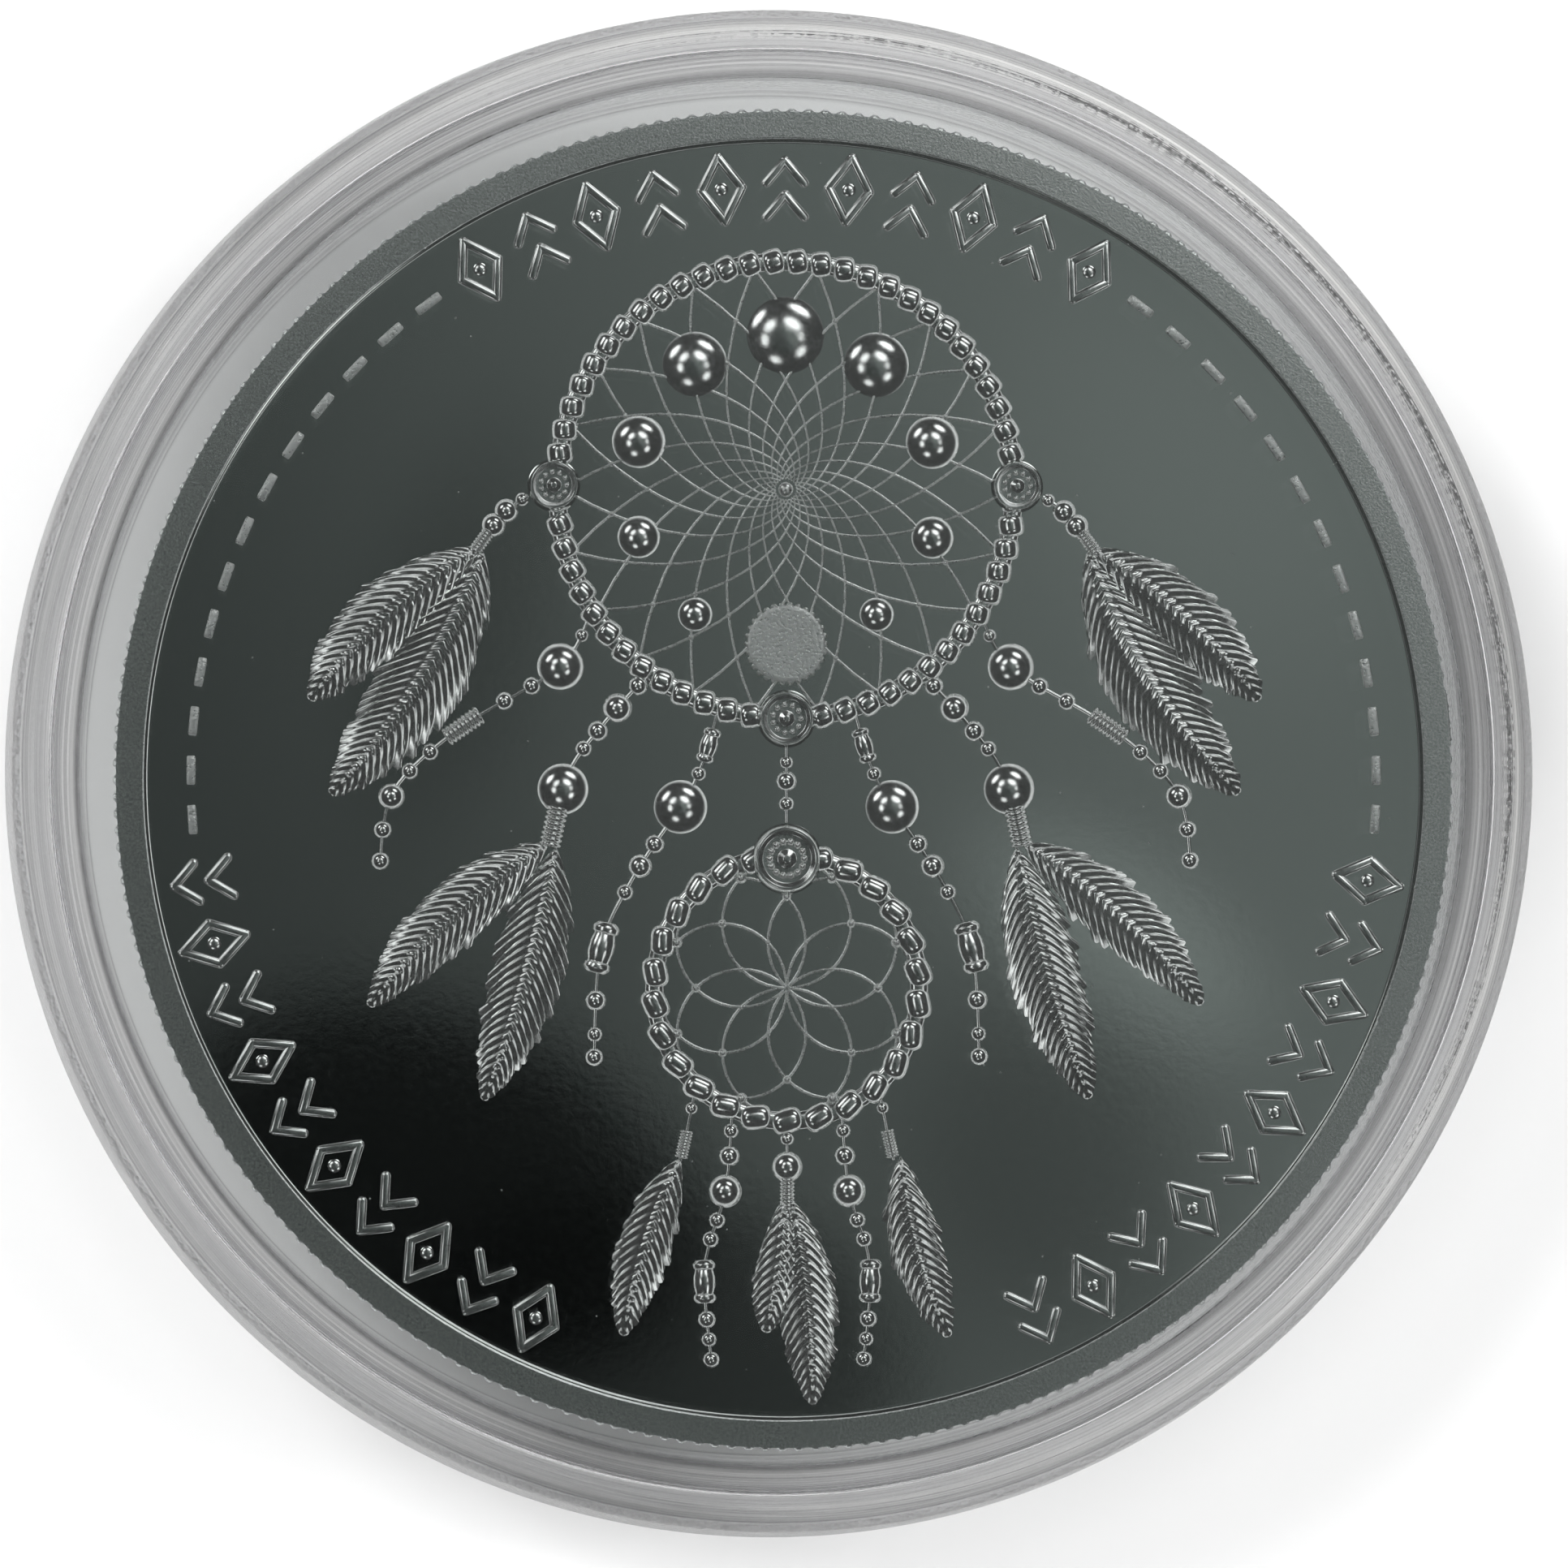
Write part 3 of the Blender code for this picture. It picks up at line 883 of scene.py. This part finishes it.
# softboxes: place, size, power in watts
softboxes = {
    "key_upper_left": {"at": (-0.60, 0.52, 0.38), "size": (0.34, 0.22), "power": 9.0},
    "fill_right": {"at": (0.78, 0.14, 0.32), "size": (0.30, 0.22), "power": 8.4},
    "fill_lower_left": {"at": (-0.32, -0.76, 0.32), "size": (0.30, 0.22), "power": 6.0},
}


def makeSoftboxes():
    for name, box in softboxes.items():
        data = bpy.data.lights.new(name, "AREA")
        data.shape = "RECTANGLE"
        data.size, data.size_y = box["size"]
        data.energy = box["power"]
        lamp = bpy.data.objects.new(name, data)
        lamp.visible_glossy = False  # the polished relief mirrors the studio's cards instead,
        lamp.visible_transmission = False  # through the lid as well
        bpy.context.scene.collection.objects.link(lamp)
        place = Vector(box["at"])
        turn = place.to_track_quat("Z", "Y").to_matrix().to_4x4()
        lamp.matrix_world = Matrix.Translation(place) @ turn


# the ceiling that the coin mirrors: a slow gradient with soft patches, each given by the spot of the
# coin in millimetres where it is seen, its half size, its turn in degrees and how it dims or lifts the
# tone
ceiling = {
    "dark": "#3a3e3d", "light": "#686e6c", "towards": 24, "lowest": 0.05, "sides": 0.7, "glowSoft": 0.35,
    # around it a dim belt and the bright lower walls: tone, the cosines between which each sets in, and
    # how much of it is left on the left side
    "belts": [(0.05, 0.975, 0.93, 1.0), (2.5, 0.42, 0.12, 0.5)],
    "patches": [
        {"at": (-10.5, -12.0), "size": (8.2, 5.4), "turn": -18, "soft": 0.22, "tone": 0.12},
        {"at": (-4.5, -17.0), "size": (8.0, 5.0), "turn": 0, "soft": 0.25, "tone": 0.40},
        {"at": (-9.5, 4.5), "size": (5.5, 2.4), "turn": 75, "soft": 0.6, "tone": 0.72},
        {"at": (9.6, -4.6), "size": (4.4, 2.2), "turn": -35, "soft": 0.6, "tone": 1.7},
        {"at": (7.5, -11.0), "size": (4.0, 5.0), "turn": 20, "soft": 0.6, "tone": 0.62},
        {"at": (12.0, 9.0), "size": (6.0, 4.5), "turn": -40, "soft": 0.7, "tone": 1.18},
    ],
    # windows and cards that glint in the slopes of the relief: azimuth and lean from overhead in degrees,
    # half size outwards and sideways, tone
    "glows": [(58, 22, 0.12, 0.20, 2.2), (135, 23, 0.11, 0.16, 1.9), (184, 23, 0.10, 0.13, 1.8),
              (8, 22, 0.08, 0.10, 1.3), (60, 46, 0.20, 0.32, 2.8), (140, 46, 0.20, 0.30, 2.5),
              (325, 28, 0.12, 0.14, 1.6), (250, 30, 0.12, 0.14, 1.5)]}


def makeWorld():
    world = bpy.data.worlds.new("studio")
    bpy.context.scene.world = world
    world.use_nodes = True
    tree = world.node_tree
    tree.nodes.clear()
    heading = addNode(tree, "ShaderNodeTexCoord").outputs["Generated"]
    parts = addNode(tree, "ShaderNodeSeparateXYZ", None, {0: heading})
    height = addNode(tree, "ShaderNodeMath", {"operation": "MAXIMUM"}, {0: parts.outputs["Z"]},
                     {1: ceiling["lowest"]})
    lean = [addNode(tree, "ShaderNodeMath", {"operation": "DIVIDE"},
                    {0: parts.outputs[axis], 1: height.outputs[0]}) for axis in ("X", "Y")]
    overhead = addNode(tree, "ShaderNodeCombineXYZ", None,
                       {0: lean[0].outputs[0], 1: lean[1].outputs[0]}).outputs[0]
    drop = camera.location.z - coinTop
    seen = Vector((camera.location.x, camera.location.y, 0))

    def spot(at):  # the ceiling place mirrored at a spot of the coin
        return (Vector((at[0] * mm, at[1] * mm, 0)) + coinCentre - seen) / drop

    low, high = spot((-19, 0)), spot((19, 0))
    turned = addNode(tree, "ShaderNodeMapping", {"vector_type": "TEXTURE"}, {"Vector": overhead},
                     {"Rotation": (0, 0, math.radians(ceiling["towards"]))})
    across = addNode(tree, "ShaderNodeSeparateXYZ", None, {0: turned.outputs[0]})
    slope = addNode(tree, "ShaderNodeMapRange", {"interpolation_type": "SMOOTHSTEP"},
                    {"Value": across.outputs["X"]}, {"From Min": low.x, "From Max": high.x})
    tone = addNode(tree, "ShaderNodeMix", {"data_type": "RGBA"}, {0: slope.outputs[0]},
                   {6: hexColour(ceiling["dark"]), 7: hexColour(ceiling["light"])}).outputs[2]

    def blot(middle, size, turn, soft):  # 1 inside a soft ellipse on the ceiling, 0 outside
        local = addNode(tree, "ShaderNodeMapping", {"vector_type": "TEXTURE"}, {"Vector": overhead},
                        {"Location": middle, "Rotation": (0, 0, math.radians(turn)),
                         "Scale": (*size, 1)})
        reach = addNode(tree, "ShaderNodeVectorMath", {"operation": "LENGTH"}, {0: local.outputs[0]})
        return addNode(tree, "ShaderNodeMapRange", {"interpolation_type": "SMOOTHSTEP"},
                       {"Value": reach.outputs["Value"]},
                       {"From Min": 1 + soft, "From Max": 1 - soft}).outputs[0]

    for patch in ceiling["patches"]:
        size = [half * mm / drop for half in patch["size"]]
        inside = blot(spot(patch["at"]), size, patch["turn"], patch["soft"])
        tone = addNode(tree, "ShaderNodeMix", {"data_type": "RGBA", "blend_type": "MULTIPLY"},
                       {0: inside, 6: tone}, {7: (patch["tone"],) * 3 + (1,)}).outputs[2]
    for level, start, end, leftShare in ceiling["belts"]:
        sides = addNode(tree, "ShaderNodeMapRange", {"interpolation_type": "SMOOTHSTEP"},
                        {"Value": parts.outputs["X"]},
                        {"From Min": -ceiling["sides"], "From Max": ceiling["sides"],
                         "To Min": leftShare})
        down = addNode(tree, "ShaderNodeMapRange", {"interpolation_type": "SMOOTHSTEP"},
                       {"Value": parts.outputs["Z"], "To Max": sides.outputs[0]},
                       {"From Min": start, "From Max": end})
        tone = addNode(tree, "ShaderNodeMix", {"data_type": "RGBA"}, {0: down.outputs[0], 6: tone},
                       {7: (level, level, level, 1)}).outputs[2]
    for azimuth, lean, outward, sideways, glow in ceiling["glows"]:
        off, side = math.tan(math.radians(lean)), math.radians(azimuth)
        middle = (off * math.cos(side), off * math.sin(side), 0)
        inside = blot(middle, (outward, sideways), azimuth, ceiling["glowSoft"])
        tone = addNode(tree, "ShaderNodeMix", {"data_type": "RGBA"}, {0: inside, 6: tone},
                       {7: (glow, glow, glow, 1)}).outputs[2]
    background = addNode(tree, "ShaderNodeBackground", None, {"Color": tone})
    addNode(tree, "ShaderNodeOutputWorld", None, {"Surface": background.outputs[0]})


# a pale round table with a low upturned edge, a hair below the capsule
table = {"radius": 0.9, "curve": 0.15, "edge": (1.0, 0.25), "gap": 0.05 * mm, "tone": "#f4f4f4",
         "roughness": 0.9}


def makeFloor():
    outline = roundedOutline([(0, 0, 0), (table["radius"], 0, table["curve"]), (*table["edge"], 0)], 8)
    bm = turnOutline(bmesh.new(), outline, 96)
    bmesh.ops.translate(bm, verts=bm.verts, vec=(0, 0, -table["gap"]))
    for face in bm.faces:
        if face.normal.z < 0:
            face.normal_flip()
    mesh = bpy.data.meshes.new("pale_table")
    bm.to_mesh(mesh)
    bm.free()
    mesh.shade_smooth()
    material, tree = newTree("white_card")
    surface = addNode(tree, "ShaderNodeBsdfPrincipled", None, None,
                      {"Base Color": hexColour(table["tone"]), "Roughness": table["roughness"]})
    addNode(tree, "ShaderNodeOutputMaterial", None, {"Surface": surface.outputs[0]})
    mesh.materials.append(material)
    floor = bpy.data.objects.new("pale_table", mesh)
    bpy.context.scene.collection.objects.link(floor)


makeSoftboxes()
makeWorld()
makeFloor()
bpy.context.scene.view_settings.view_transform = "Standard"
print("stage: camera, lights and table set")
